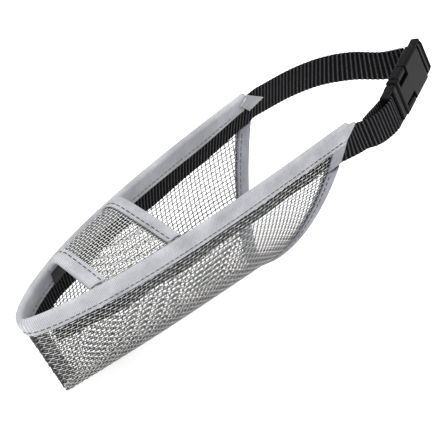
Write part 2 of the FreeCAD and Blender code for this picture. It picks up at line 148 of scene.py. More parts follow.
def seam_gap(q):
    """Half the gap between the two walls at their nose seam, none at the nose itself."""
    return SEAM_HALF_GAP * (1 - np.exp(-rim_y(q) / SEAM_CLOSING))


def wall_depth(q, layer=0.0):
    return rim_z(q) - keel_z(keel_x(q)) - layer


def wall_x(q, height):
    """x of the wall's line q at a share of its height, from 0 at the keel to 1 at the rim."""
    bow = 1 + (THROAT_BULGE - 1) * np.minimum(BULGE_GROWTH * q, 1)
    return keel_x(q) + (rim_x(q) - keel_x(q)) * np.clip(height, 0, None) ** bow


def wall(q, side, drop, layer, gap=SEAM_HALF_GAP):
    """Points of the wall: share q of the rim, mm below it, and mm inside the mesh."""
    q, side, drop, layer, gap = same_shape(q, side, drop, layer, gap)
    depth = wall_depth(q, layer)
    share = np.clip(drop / depth, 0, 1)
    facing = np.exp(-rim_y(q) / NOSE_TURN)
    length = np.hypot(facing, 1 - facing)
    half = rim_y(q) + gap - layer * (1 - facing) / length
    x = np.where(drop < 0, rim_x(q), wall_x(q, 1 - share)) + layer * facing / length
    y = side * half * (1 - share ** SECTION_POWER) ** (1 / SECTION_POWER)
    return np.stack([x, y, rim_z(q) - drop], axis=-1)


def rim_wall(q_signed, drop, layer):
    """As wall, running without a break round the nose: below 0 is the left side."""
    q = np.abs(q_signed)
    side = np.where(np.asarray(q_signed) < 0, -1.0, 1.0)
    return wall(q, side, drop, layer, seam_gap(q))


def tip_share(q):
    """0 ahead of the tips, rising smoothly to 1 at the tip itself."""
    t = np.clip((rim_x(q) - RIM_LENGTH + TIP_RUN) / TIP_RUN, 0, 1)
    return t * t * (3 - 2 * t)


def webbing_top(q, side):
    """Drop of the sewn webbing's upper edge: it rises to the rim at the right tip only."""
    rise = tip_share(q) if side > 0 else 0 * q
    return WEBBING_DROP + (WEBBING_TIP_DROP - WEBBING_DROP) * rise


def root_z(side):
    """Height of the webbing's middle where it leaves a tip."""
    return RIM_RISE - float(webbing_top(1.0, side)) - WEBBING_WIDTH / 2


def rim_tape(q_signed, drop, layer):
    """As rim_wall, but narrowing towards the right tip."""
    q_signed, drop = same_shape(q_signed, drop)
    narrow = 1 - TAPE_TAPER * tip_share(np.abs(q_signed))
    return rim_wall(q_signed, np.where((q_signed > 0) & (drop > 0), drop * narrow, drop), layer)


def wall_at(x, z, side):
    """Points of the wall at given x and z, by halving the range of q that holds them."""
    x, z = same_shape(x, z)
    low = np.zeros_like(x)
    high = np.full_like(x, FARTHEST_SHARE)
    halvings = 30
    for _ in range(halvings):
        middle = (low + high) / 2
        height = (z - keel_z(keel_x(middle))) / wall_depth(middle)
        beyond = wall_x(middle, height) > x
        high = np.where(beyond, middle, high)
        low = np.where(beyond, low, middle)
    q = (low + high) / 2
    return wall(q, side, rim_z(q) - z, 0.0, seam_gap(q))


def band_surface(x, across, lift=0.0):
    """Points of the nose band: across runs from -1 on the left to +1 on the right."""
    x, across, lift = same_shape(x, across, lift)
    q = rim_share(x)
    reach = rim_y(q) + SEAM_HALF_GAP - TAPE_ON_WEBBING - BAND_CLEARANCE

    def rise(t):
        return BAND_RISE * (1 - t ** BAND_END_POWER) * (1 + t) / 2

    step = 0.01
    slope = (rise(across + step) - rise(across - step)) / (2 * step * reach)
    length = np.sqrt(1 + slope ** 2)
    y = reach * across - lift * slope / length
    z = rim_z(q) + rise(across) + lift / length
    return np.stack([x, y, z], axis=-1)


# ------------ building meshes
def link(data, name):
    """A new object in the scene that holds this camera, light or mesh."""
    made = bpy.data.objects.new(name, data)
    bpy.context.scene.collection.objects.link(made)
    return made


def new_piece(name, shape, material, body, nodes):
    """A visible piece; its shape is points, faces, and a (u, v) for each point, all in mm."""
    verts, faces, uv = shape
    mesh = bpy.data.meshes.new(name)
    verts = np.asarray(verts, float).reshape(-1, 3) * MM
    mesh.from_pydata(verts.tolist(), [], [tuple(int(i) for i in face) for face in faces])
    layer = mesh.uv_layers.new(name="cloth")
    index = np.empty(len(mesh.loops), dtype=np.int32)
    mesh.loops.foreach_get("vertex_index", index)
    layer.data.foreach_set("uv", np.asarray(uv, np.float32).reshape(-1, 2)[index].ravel())
    mesh.polygons.foreach_set("use_smooth", [True] * len(mesh.polygons))
    mesh.validate()
    mesh.update()
    piece = link(mesh, name)
    mesh.materials.append(material)
    if body:
        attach(piece, body)
    if nodes:
        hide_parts(*nodes)
    return piece


def grid_faces(rows, columns, offset=0, flip=False):
    """Quads between the points of a grid that starts at vertex number offset."""
    first = (np.arange(rows - 1)[:, None] * columns + np.arange(columns - 1)[None, :]).ravel()
    quads = np.stack([first, first + 1, first + columns + 1, first + columns], axis=1) + offset
    return quads[:, ::-1] if flip else quads


def slab_mesh(front, back, uv):
    """Closed sheet between two grids of points of the same size."""
    rows, columns = front.shape[:2]
    count = rows * columns
    faces = [grid_faces(rows, columns), grid_faces(rows, columns, count, True)]
    border = list(range(columns))
    border += [i * columns + columns - 1 for i in range(1, rows)]
    border += [(rows - 1) * columns + i for i in range(columns - 2, -1, -1)]
    border += [i * columns for i in range(rows - 2, 0, -1)]
    border = np.array(border)
    after = np.roll(border, -1)
    faces.append(np.stack([after, border, border + count, after + count], axis=1))
    verts = np.concatenate([front.reshape(-1, 3), back.reshape(-1, 3)])
    return verts, np.concatenate(faces), np.concatenate([uv.reshape(-1, 2)] * 2)


def lengths_along(points):
    """Distance of each point from the first, along a line of points."""
    steps = np.linalg.norm(np.diff(points, axis=0), axis=-1)
    return np.concatenate([[0.0], np.cumsum(steps)])


def interpolated(at, along, points):
    """Points at the distances at of a line whose points lie at the distances along."""
    return np.stack([np.interp(at, along, points[:, k]) for k in range(3)], axis=1)


def unit(vectors):
    return vectors / np.maximum(np.linalg.norm(vectors, axis=-1, keepdims=True), 1e-9)


TUBE_SIDES = 6


def tube_mesh(lines, width, height):
    """Tubes along lines of (points, normals, levels, painted shade, tone), height along the
    normal.

    levels run from -1 where a yarn passes under its neighbour to 1 where it passes over.
    The painted shade of a line is how much the surface that faces along the normal is
    darkened, or, below 0, the one that faces against it.  tone is the brightness of the whole
    line.
    The second texture coordinate holds painted light and shade: 1 on the faces of a yarn where
    it passes over, down to 0 on its sides and where it passes under.
    """
    verts, faces, uvs = [], [], []
    offset = 0
    angles = np.linspace(0, 2 * math.pi, TUBE_SIDES, endpoint=False)
    ring = np.arange(TUBE_SIDES)
    for points, normals, levels, painted_shade, tone in lines:
        count = len(points)
        ahead = unit(np.gradient(points, axis=0))
        cross = unit(np.cross(ahead, normals))
        normal = np.cross(cross, ahead)
        rings = (points[:, None, :]
                 + cross[:, None, :] * (np.cos(angles) * width / 2)[None, :, None]
                 + normal[:, None, :] * (np.sin(angles) * height / 2)[None, :, None])
        verts.append(rings.reshape(-1, 3))
        along = lengths_along(points)
        facing = np.sin(angles)[None, :]
        # Painted light and shade: faces lit where a yarn passes over, dark on its sides and
        # where it passes under.
        painted_light_share = 0.5 * (np.abs(facing) + np.asarray(levels)[:, None] * facing)
        # Painted shade: the chosen faces of a yarn lose brightness deep in the trough.
        painted_light_share *= tone * (1 - np.clip(np.asarray(painted_shade)[:, None] * facing, 0, 1))
        uvs.append(np.stack([np.repeat(along, TUBE_SIDES), painted_light_share.ravel()], axis=1))
        base = (np.arange(count - 1) * TUBE_SIDES)[:, None] + offset
        quads = np.stack([base + ring, base + np.roll(ring, -1),
                          base + TUBE_SIDES + np.roll(ring, -1),
                          base + TUBE_SIDES + ring], axis=-1)
        faces += quads.reshape(-1, 4).tolist()
        faces.append([offset + i for i in range(TUBE_SIDES - 1, -1, -1)])
        faces.append([offset + (count - 1) * TUBE_SIDES + i for i in range(TUBE_SIDES)])
        offset += count * TUBE_SIDES
    return np.concatenate(verts), faces, np.concatenate(uvs)


# ------------ materials
def node(tree, kind, **values):
    """A new shader node; values name its properties or its inputs."""
    made = tree.nodes.new(kind)
    for key, value in values.items():
        if hasattr(made, key):
            setattr(made, key, value)
        else:
            made.inputs[key].default_value = value
    return made


def start_material(name, color, roughness, specular, sheen=0.0):
    material = bpy.data.materials.new(name)
    material.use_nodes = True
    tree = material.node_tree
    shader = tree.nodes["Principled BSDF"]
    shader.inputs["Base Color"].default_value = (*color, 1)
    shader.inputs["Roughness"].default_value = roughness
    shader.inputs["Specular IOR Level"].default_value = specular
    shader.inputs["Sheen Weight"].default_value = sheen
    return material, tree, shader


def cloth_axes(tree):
    """Separate u (along the cloth) and v (across it), in mm."""
    uv = node(tree, "ShaderNodeUVMap", uv_map="cloth")
    split = node(tree, "ShaderNodeSeparateXYZ")
    tree.links.new(uv.outputs["UV"], split.inputs["Vector"])
    return split.outputs["X"], split.outputs["Y"]


def math_node(tree, operation, first, second=None, third=None):
    """Result of a math node whose inputs are numbers or outputs of other nodes."""
    made = node(tree, "ShaderNodeMath", operation=operation)
    for socket, value in zip(made.inputs, (first, second, third)):
        if value is None:
            continue
        if isinstance(value, (int, float)):
            socket.default_value = value
        else:
            tree.links.new(value, socket)
    return made.outputs["Value"]


def add_scaled(tree, base, value, factor):
    """base + value * factor"""
    return math_node(tree, "MULTIPLY_ADD", value, factor, base)


def scaled(tree, value, factor):
    return math_node(tree, "MULTIPLY", value, factor)


def wave(tree, coordinate, pitch, shift=0.0):
    """A sine of the given pitch in mm, from 0 to 1."""
    turned = add_scaled(tree, shift, coordinate, 2 * math.pi / pitch)
    return add_scaled(tree, 0.5, math_node(tree, "SINE", turned), 0.5)


def noise(tree, scale, detail=3.0):
    """Noise over the object's own coordinates, scale in cells per metre."""
    made = node(tree, "ShaderNodeTexNoise", Scale=scale, Detail=detail, Roughness=0.55)
    coordinates = node(tree, "ShaderNodeTexCoord")
    tree.links.new(coordinates.outputs["Object"], made.inputs["Vector"])
    return made.outputs["Fac"]


def color_between(tree, shader, factor, dark, light):
    """Colour the shader from dark at factor 0 to light at factor 1."""
    mixer = node(tree, "ShaderNodeMix", data_type="RGBA")
    tree.links.new(factor, mixer.inputs["Factor"])
    mixer.inputs["A"].default_value = (*dark, 1)
    mixer.inputs["B"].default_value = (*light, 1)
    tree.links.new(mixer.outputs["Result"], shader.inputs["Base Color"])


def add_bump(tree, shader, height, distance, strength=1.0):
    bump = node(tree, "ShaderNodeBump", Distance=distance, Strength=strength)
    tree.links.new(height, bump.inputs["Height"])
    tree.links.new(bump.outputs["Normal"], shader.inputs["Normal"])


def tape_material(name, dark, light):
    """Grosgrain binding: fine cross ribs over a close warp, a little worn and uneven."""
    material, tree, shader = start_material(name, light, roughness=0.7, specular=0.2, sheen=0.1)
    along, across = cloth_axes(tree)
    ribs = wave(tree, along, TAPE_RIB_PITCH)
    warp = wave(tree, across, TAPE_WARP_PITCH)
    fuzz = noise(tree, scale=1400.0)
    patches = noise(tree, scale=70.0, detail=4.0)
    weave = add_scaled(tree, ribs, warp, 0.3)
    shade = add_scaled(tree, scaled(tree, fuzz, 0.3), weave, 0.32)
    darker = math_node(tree, "SUBTRACT", shade, 0.3)
    color_between(tree, shader, add_scaled(tree, darker, patches, 0.9), dark, light)
    add_bump(tree, shader, add_scaled(tree, weave, fuzz, 0.6), distance=0.00018)
    return material


def webbing_material():
    """Black ribbed webbing with a painted highlight: its rib crests are coloured grey."""
    material, tree, shader = start_material("black_webbing", (0.01, 0.01, 0.011),
                                            roughness=0.7, specular=0.05)
    along, across = cloth_axes(tree)
    ribs = wave(tree, along, RIB_PITCH, math.pi / 2)
    yarns = wave(tree, across, WEBBING_YARN_PITCH)
    fuzz = noise(tree, scale=1500.0)
    # Painted highlight: the rib crests are coloured lighter grey than the black troughs.
    crest = math_node(tree, "POWER", ribs, 4.0)
    tips = scaled(tree, crest, add_scaled(tree, 0.4, yarns, 0.6))
    shade = scaled(tree, tips, scaled(tree, fuzz, 1.2))
    color_between(tree, shader, shade, (0.002, 0.002, 0.0025), (0.15, 0.15, 0.16))
    height = add_scaled(tree, scaled(tree, fuzz, 0.6), yarns, 0.6)
    add_bump(tree, shader, height, distance=0.00015, strength=0.9)
    return material


def yarn_material(name, dark, light):
    """Coated yarn, mottled along its length, with painted light on its tops and painted shade in
    the crevices of the weave.
    """
    material, tree, shader = start_material(name, light, roughness=0.5, specular=0.25)
    painted_light_share = cloth_axes(tree)[1]
    patches = noise(tree, scale=260.0)
    fine = noise(tree, scale=2600.0, detail=2.0)
    mottle = add_scaled(tree, scaled(tree, patches, 0.4), fine, 0.3)
    darker = math_node(tree, "SUBTRACT", mottle, 0.35)
    # The painted light and shade from the second texture coordinate sets most of the yarn's
    # colour.
    painted_light = math_node(tree, "POWER", painted_light_share, 1.5)
    color_between(tree, shader, add_scaled(tree, darker, painted_light, 1.7), dark, light)
    add_bump(tree, shader, fine, distance=0.00005, strength=0.5)
    return material


def thread_material(name, color):
    """Twisted sewing thread, with painted shade in the crevices between its strands."""
    material, tree, shader = start_material(name, color, roughness=0.6, specular=0.2)
    strands = wave(tree, cloth_axes(tree)[0], THREAD_TWIST_PITCH)
    # Painted shade: the thread is darker in the crevices between its twisted strands.
    painted_crevice_shade = 0.4
    color_between(tree, shader, strands, tuple(c * painted_crevice_shade for c in color), color)
    add_bump(tree, shader, strands, distance=0.00006, strength=0.7)
    return material


def plastic_material():
    """Black moulded plastic: fine sand-blasted grain, slightly rubbed at high spots."""
    material, tree, shader = start_material("black_acetal", (0.006, 0.006, 0.007),
                                            roughness=0.35, specular=0.06)
    grain = noise(tree, scale=2200.0, detail=2.0)
    smudge = noise(tree, scale=90.0, detail=4.0)
    rough = node(tree, "ShaderNodeMapRange")
    rough.inputs["To Min"].default_value = 0.26
    rough.inputs["To Max"].default_value = 0.42
    tree.links.new(smudge, rough.inputs["Value"])
    tree.links.new(rough.outputs["Result"], shader.inputs["Roughness"])
    color_between(tree, shader, smudge, (0.003, 0.003, 0.0035), (0.008, 0.008, 0.009))
    add_bump(tree, shader, grain, distance=0.00003, strength=0.5)
    return material


RIB_PITCH = 2.3
WEBBING_YARN_PITCH = 0.62
TAPE_RIB_PITCH = 0.85
TAPE_WARP_PITCH = 0.4
THREAD_TWIST_PITCH = 0.5
tape_grey = tape_material("grey_binding", (0.16, 0.163, 0.18), (0.68, 0.685, 0.73))
# A darker copy of the grey binding: painted shade for the throat binding and its tabs, which
# face away from the light.
tape_painted_shade = tape_material("grey_binding_painted_shade", (0.1, 0.103, 0.12), (0.46, 0.466, 0.52))
# Near-black tape: the nose seam's dark tape, and painted shade on the nose band's ends where
# they tuck inside the rim.
dark_tape_and_painted_shade = tape_material("dark_seam_tape_and_painted_shade", (0.012, 0.012, 0.013), (0.06, 0.06, 0.065))
webbing_black = webbing_material()
yarn_grey = yarn_material("coated_yarn", (0.006, 0.006, 0.006), (0.75, 0.75, 0.74))
thread_dark = thread_material("dark_thread", (0.05, 0.05, 0.06))
thread_grey = thread_material("grey_thread", (0.2, 0.2, 0.23))
plastic_black = plastic_material()

# ------------ woven mesh
ROWS = 40  # lengthwise yarns on each side, rim to keel
CROSS_PITCH = 2.9  # spacing of the crosswise yarns along the rim
BAND_ROW_PITCH = 2.2  # rough spacing of the yarns that run across the nose band
BAND_COLUMNS = 28  # spaces between the yarns that run along the nose band
YARN_WIDTH = 0.58
YARN_HEIGHT = 0.45
WAVE = 0.18  # how far a yarn rises and dips over its neighbours
FEWEST_POINTS = 4  # shorter lengths of yarn are left out
INSIDE_PAINTED_SHADE = 0.9  # painted shade: brightness that the yarns lose on their inward faces, deep in the trough
PAINTED_SHADE_START = 0.45  # share of the wall's depth at which they begin to lose it
PAINTED_SHADE_RUN = 0.3  # share of the depth over which they do
CROSS_TONE = 0.6  # brightness of the crosswise yarns beside the lengthwise ones
TYPICAL_DEPTH = 60.0  # of the section that the lengthwise yarns are spaced on
TYPICAL_HALF_WIDTH = 26.0
TOP_YARN_DROP = 0.5  # drop of the first yarn below the rim
SHEET_START = 0.05  # x of the sheet's foremost point
TIP_TRIM = 0.5  # ahead of RIGHT_TAPE_END, where the yarns of the tip end
BAND_MESH_INSET = 1.0  # of the band's mesh inside the edges of its tapes

# Sewing has drawn the cloth up and down in slow waves along the rim.
PUCKER_HEIGHT = 0.9
PUCKER_START = 14.0
PUCKER_FADE = 30.0  # length at both ends of the rim over which the waves die out
PUCKER_WAVELENGTHS = {-1: 44.0, 1: 61.0}


def row_shares():
    """Drop shares of the lengthwise yarns, evenly spaced round a typical section."""
    angle = np.linspace(0, math.pi / 2, 400)
    drop = TYPICAL_DEPTH * np.cos(angle) ** (2 / SECTION_POWER)
    across = TYPICAL_HALF_WIDTH * np.sin(angle) ** (2 / SECTION_POWER)
    arc = lengths_along(np.stack([across, drop], axis=1))
    wanted = np.linspace(0, arc[-1], 2 * ROWS + 1)
    return np.interp(wanted, arc, drop / TYPICAL_DEPTH)[::-1]


def cross_stations():
    """x of the crosswise yarns and the midpoints between them, evenly spaced on the rim."""
    q = np.linspace(0, 1, 2000)
    plan = np.stack([rim_x(q), rim_y(q)], axis=1)
    arc = lengths_along(plan)
    wanted = np.arange(CROSS_PITCH / 2, arc[-1], CROSS_PITCH / 2)
    return np.interp(wanted, arc, rim_x(q))


def pucker(x, side):
    """How far sewing has drawn the cloth up or down at x."""
    fade = np.clip(x / PUCKER_FADE, 0, 1) * np.clip((RIM_LENGTH - x) / PUCKER_FADE, 0, 1)
    turns = (x - PUCKER_START) / PUCKER_WAVELENGTHS[side]
    return PUCKER_HEIGHT * fade * np.sin(2 * math.pi * turns)


def row_height(x, share, side):
    """z of a lengthwise yarn that lies at a share of the wall's depth."""
    top = rim_z(rim_share(x)) - TOP_YARN_DROP
    drawn = pucker(x, side) * np.sin(math.pi * share) * (1 - share)
    return top - share * (top - keel_z(x)) + drawn


def on_sheet(x, z):
    """True where the sheet reaches: behind the nose seam and ahead of the throat edge."""
    front = z * KEEL_FRONT[0] / KEEL_FRONT[1]
    height = np.clip((z - KEEL_REAR[1]) / (RIM_RISE - KEEL_REAR[1]), 0, 1)
    throat = KEEL_REAR[0] + (RIM_LENGTH - KEEL_REAR[0]) * height ** THROAT_BULGE
    return (x >= np.maximum(front, SHEET_START)) & (x <= throat)


def weave_levels(shape, first):
    """1 and -1 by turns where two yarns of a plain weave cross, and 0 between crossings.

    Every other point of the grid is a crossing, from point number first on in each line.
    """
    i, j = np.indices(shape)
    crossing = (i % 2 == first) & (j % 2 == 0)
    over = np.where((i // 2 + j // 2) % 2 == 0, 1.0, -1.0)
    return np.where(crossing, over, 0.0)


def grid_normals(points):
    return unit(np.cross(np.gradient(points, axis=0), np.gradient(points, axis=1)))


def yarns(points, normals, level, inside, painted_shade, first, tone):
    """Every other line along a grid's first axis, from number first on, for tube_mesh."""
    lines = []
    for j in range(first, points.shape[1], 2):
        keep = inside[:, j]
        if keep.sum() >= FEWEST_POINTS:
            lines.append([grid[keep, j] for grid in (points, normals, level, painted_shade)] + [tone])
    return lines


def both_sets(points, level, inside, painted_shade, first, tone):
    """Yarns along a grid's first axis, and those of this tone that cross them."""
    normals = grid_normals(points)
    lift = normals * (level * WAVE)[..., None]
    crossing = [grid.swapaxes(0, 1) for grid in (points - lift, normals, -level, inside, painted_shade)]
    return (yarns(points + lift, normals, level, inside, painted_shade, 0, 1.0)
            + yarns(*crossing, first, tone))


def woven_side(side):
    """Both sets of yarns of one side wall, over and under each other."""
    x, share = np.meshgrid(cross_stations(), row_shares(), indexing="ij")
    z = row_height(x, share, side)
    points = wall_at(x, z, side)
    inside = on_sheet(x, z)
    if side > 0:
        # The rim tape stops short of the right tip, and the yarns end close behind it.
        yarn_end = float(rim_x(RIGHT_TAPE_END)) - TIP_TRIM
        inside &= (x < yarn_end) | (z < RIM_RISE - BINDING_WIDTH)
    # The normals point to +Y, which is inwards on the left and outwards on the right.
    # Painted shade darkens the yarns' inward faces, more so deeper in the trough.
    painted_shade = -side * INSIDE_PAINTED_SHADE * np.clip((share - PAINTED_SHADE_START) / PAINTED_SHADE_RUN, 0, 1)
    return both_sets(points, weave_levels(x.shape, 1), inside, painted_shade, 1, CROSS_TONE)


def woven_trough():
    for side, name in ((-1, "left_woven_mesh"), (1, "right_woven_mesh")):
        new_piece(name, tube_mesh(woven_side(side), YARN_WIDTH, YARN_HEIGHT), yarn_grey,
                  "muzzle", ["mesh_trough"])


def woven_band():
    """The nose band's mesh, turned so that its wider holes run across the snout."""
    rows = 2 * int((BAND_REAR - BAND_FRONT) / BAND_ROW_PITCH) + 1
    columns = 2 * BAND_COLUMNS + 1
    x = np.linspace(BAND_FRONT + BAND_MESH_INSET, BAND_REAR - BAND_MESH_INSET, rows)
    points = band_surface(x[:, None], np.linspace(-1, 1, columns)[None, :])
    inside = np.full((rows, columns), True)
    lines = both_sets(points, -weave_levels(inside.shape, 0), inside, 0.0 * inside, 0, 1.0)
    new_piece("nose_band_woven_mesh", tube_mesh(lines, YARN_WIDTH, YARN_HEIGHT), yarn_grey,
              "muzzle", ["nose_band_mesh"])


# ------------ binding tape
STITCH_ABOVE_EDGE = 2.0  # from a tape's edge to its line of stitches
LEAF_POINTS = 14  # points across each leaf of a folded tape
FOLD_POINTS = 11  # points round its fold
FOLD_RISE = 1.2  # how far the fold stands above the edge that it binds
SWELL_POWER = 0.7  # below 1 the leaf swells with a flatter top
INNER_SWELL = 0.4  # share of the outer leaf's swelling that the inner leaf shows
FREE_EDGE_LIFT = 0.1  # of the strip between the stitches and the tape's edge
GROOVE_DEPTH = 0.25  # how far the stitches draw the tape in
GROOVE_WIDTH = 0.6
RIM_STATIONS = 420
NOSE_CROWDING = 1.3  # above 1 the stations along the rim crowd towards the nose
BAND_STATIONS = 90
RIM_PUFF = 0.5
THROAT_PUFF = 0.7
BAND_PUFF = 0.35
THROAT_TAPE_GAP = 1.0  # between the sewn webbing and the ends of the throat tape
BAND_EDGES = (("front", BAND_FRONT, 1), ("rear", BAND_REAR, -1))


def tape_profile(outer, inner, width, top, puff):
    """Section of a folded tape as (drop, layer) pairs, from its outer edge over the fold.

    The outer leaf swells by puff above its stitch line and is drawn in along the stitches.
    """
    middle = (inner - outer) / 2
    radius = (inner + outer) / 2
    straight = np.linspace(width, top + radius, LEAF_POINTS)[:-1]
    stitch = width - STITCH_ABOVE_EDGE
    above = np.clip((stitch - straight) / (stitch - top - radius), 0, 1)
    swell = puff * np.sin(above * math.pi) ** SWELL_POWER + FREE_EDGE_LIFT * (straight > stitch)
    groove = GROOVE_DEPTH * np.exp(-((straight - stitch) / GROOVE_WIDTH) ** 2)
    lower = np.stack([straight, -outer - swell + groove], axis=1)
    angle = np.linspace(0, math.pi, FOLD_POINTS)
    arc = np.stack([top + radius * (1 - np.sin(angle)), middle - radius * np.cos(angle)], axis=1)
    upper = np.stack([straight, inner + INNER_SWELL * (swell - groove)], axis=1)
    return np.concatenate([lower, arc, upper[::-1]])


def folded_tape(name, point, stations, outer, inner, top, puff, nodes, material=tape_grey):
    """A tape folded over an edge; point(station, drop, layer) places its section."""
    outside = tape_profile(outer, inner, BINDING_WIDTH, top, puff)
    inside = tape_profile(outer - TAPE_THICKNESS, inner - TAPE_THICKNESS, BINDING_WIDTH,
                          top + TAPE_THICKNESS, puff)
    s = np.asarray(stations)[:, None]
    front = point(s, outside[None, :, 0], outside[None, :, 1])
    back = point(s, inside[None, :, 0], inside[None, :, 1])
    u = lengths_along(front[:, len(outside) // 2])
    v = lengths_along(front[len(front) // 2])
    uv = np.stack(np.meshgrid(u, v, indexing="ij"), axis=-1)
    new_piece(name, slab_mesh(front, back, uv), material, "muzzle", nodes)


def rim_stations(left_end, right_end):
    """Signed shares of the rim from left to right; the ends are given before crowding."""
    s = np.linspace(-left_end, right_end, RIM_STATIONS)
    return np.sign(s) * np.abs(s) ** NOSE_CROWDING


def throat_point(angle, inset, layer):
    """Points by the throat edge: angle runs from the left over 0 at the keel to the right."""
    angle, inset, layer = same_shape(angle, inset, layer)
    q = rim_share(RIM_LENGTH - inset)
    side = np.where(angle < 0, -1.0, 1.0)
    drop = wall_depth(q, layer) * np.cos(angle) ** (2 / SECTION_POWER)
    return wall(q, side, drop, layer)


def throat_turns(margin=0.0, count=160):
    """Angles round the throat edge from under the left webbing to under the right one."""
    ends = []
    for side in (-1, 1):
        drop = float(webbing_top(1.0, side)) + WEBBING_WIDTH + THROAT_TAPE_GAP
        ends.append(math.acos((drop / float(wall_depth(1.0))) ** (SECTION_POWER / 2)))
    return np.linspace(margin - ends[0], ends[1] - margin, count)


def band_edge_point(edge, direction):
    """A point(station, inset, layer) on the nose band, inset from one of its edges."""
    def point(across, inset, layer):
        return band_surface(edge + direction * inset, across, -np.asarray(layer))
    return point


def bindings():
    folded_tape("rim_binding_tape", rim_tape, rim_stations(1, RIGHT_TAPE_END),
                TAPE_ON_MESH, TAPE_ON_WEBBING, -FOLD_RISE, RIM_PUFF, ["rim_binding"])
    # The throat binding uses the grey tape darkened by painted shade.
    folded_tape("throat_binding_tape", throat_point, throat_turns(),
                TAPE_ON_MESH, TAPE_ON_MESH, -FOLD_RISE, THROAT_PUFF, ["throat_binding"],
                tape_painted_shade)
    for name, edge, direction in BAND_EDGES:
        folded_tape(f"nose_band_{name}_tape", band_edge_point(edge, direction),
                    np.linspace(-1, 1, BAND_STATIONS), TAPE_ON_MESH, TAPE_ON_MESH, 0.0,
                    BAND_PUFF, [f"nose_band_{name}_binding"])


# ------------ stitches
STITCH_LENGTH = 2.1
STITCH_PITCH = 3.0
STITCH_POINTS = 7
STITCH_START = 0.5  # where the first stitch of a line begins
STITCH_BOW = 0.22
STITCH_SINK = 0.12  # how deep its ends dip into the tape
THREAD_WIDTH = 0.42
THREAD_HEIGHT = 0.34
THROAT_STITCH_MARGIN = 0.02
BAND_STITCH_END = 0.97


def stitches(name, points, normals, nodes, material):
    """Separate stitches along a line, each a short bowed thread that dips in at its ends."""
    along = lengths_along(points)
    bow = np.sin(np.linspace(0, math.pi, STITCH_POINTS))[:, None]
    lines = []
    for start in np.arange(STITCH_START, along[-1] - STITCH_LENGTH, STITCH_PITCH):
        at = np.linspace(start, start + STITCH_LENGTH, STITCH_POINTS)
        normal = unit(interpolated(at, along, normals))
        place = interpolated(at, along, points) + normal * (STITCH_BOW * bow - STITCH_SINK)
        lines.append((place, normal, np.ones(STITCH_POINTS), np.zeros(STITCH_POINTS), 1.0))
    new_piece(name, tube_mesh(lines, THREAD_WIDTH, THREAD_HEIGHT), material, "muzzle",
              nodes)


def line_on(point, stations, drop, layer):
    """A line of points and outward normals on a surface point(station, drop, layer)."""
    here = point(stations, drop, layer)
    outside = point(stations, drop, layer + (-1 if layer < 0 else 1))
    return here, unit(outside - here)


def all_stitches():
    turns = throat_turns(THROAT_STITCH_MARGIN, 200)
    across = np.linspace(-BAND_STITCH_END, BAND_STITCH_END, BAND_STATIONS)
    rows = [
        ("rim_stitches", rim_tape, rim_stations(0.99, 0.96), -TAPE_ON_MESH,
         ["rim_thread"], thread_dark),
        ("rim_inner_stitches", rim_tape, rim_stations(0.97, 0.94), TAPE_ON_WEBBING,
         [], thread_grey),
        ("throat_stitches", throat_point, turns, -TAPE_ON_MESH,
         ["throat_thread"], thread_dark),
        ("throat_inner_stitches", throat_point, turns, TAPE_ON_MESH,
         [], thread_grey)]
    rows += [(f"nose_band_{name}_stitches", band_edge_point(edge, direction), across,
              -TAPE_ON_MESH, ["nose_band_threads"], thread_dark)
             for name, edge, direction in BAND_EDGES]
    for name, point, stations, layer, nodes, material in rows:
        points, normals = line_on(point, stations, BINDING_WIDTH - STITCH_ABOVE_EDGE, layer)
        stitches(name, points, normals, nodes, material)


# ------------ webbing
RIB_HEIGHT = 0.17
EDGE_ROUNDING = 0.8  # width over which the webbing thins towards its edges
THINNEST_EDGE = 0.25  # share of the thickness left at the very edge
SCALLOP = 0.012  # share by which each rib is wider than the webbing
POINTS_ACROSS = 25
SEWN_START = 9.0  # x at which the sewn webbing begins behind the nose
SEWN_STATIONS = 760
WEBBING_PUCKER = 0.5  # share of the cloth's pucker that the webbing follows


def ribbed(name, place, along, body, nodes, first_rib=0.0):
    """Webbing along a line of stations: place(across, depth) gives its points.

    along holds the distance of each station in mm, so that the ribs keep their pitch.
    """
    across = np.linspace(-WEBBING_WIDTH / 2, WEBBING_WIDTH / 2, POINTS_ACROSS)
    crest = np.cos(2 * math.pi * (along + first_rib) / RIB_PITCH)[:, None]
    edge = np.clip((WEBBING_WIDTH / 2 - np.abs(across)) / EDGE_ROUNDING, 0, 1)[None, :]
    round_edge = np.sqrt(np.clip(1 - (1 - edge) ** 2, 0, 1))
    thick = WEBBING_THICKNESS / 2 - RIB_HEIGHT + RIB_HEIGHT * crest
    thick = thick * np.maximum(round_edge, THINNEST_EDGE)
    wide = across[None, :] * (1 + SCALLOP * crest)
    uv = np.stack(np.meshgrid(along + first_rib, across, indexing="ij"), axis=-1)
    shape = slab_mesh(place(wide, thick), place(wide, -thick), uv)
    return new_piece(name, shape, webbing_black, body, nodes)


def side_webbing():
    for side, name in ((-1, "left"), (1, "right")):
        x = np.linspace(SEWN_START, RIM_LENGTH, SEWN_STATIONS)
        q = rim_share(x)
        middle = webbing_top(q, side) + WEBBING_WIDTH / 2 - WEBBING_PUCKER * pucker(x, side)
        along = lengths_along(wall(q, side, middle, WEBBING_MIDDLE))

        def place(across, depth, q=q, side=side, middle=middle):
            return wall(q[:, None], side, middle[:, None] - across, WEBBING_MIDDLE + depth)

        ribbed(f"{name}_sewn_webbing", place, along, "muzzle", [f"{name}_side_webbing"],
               -along[-1])


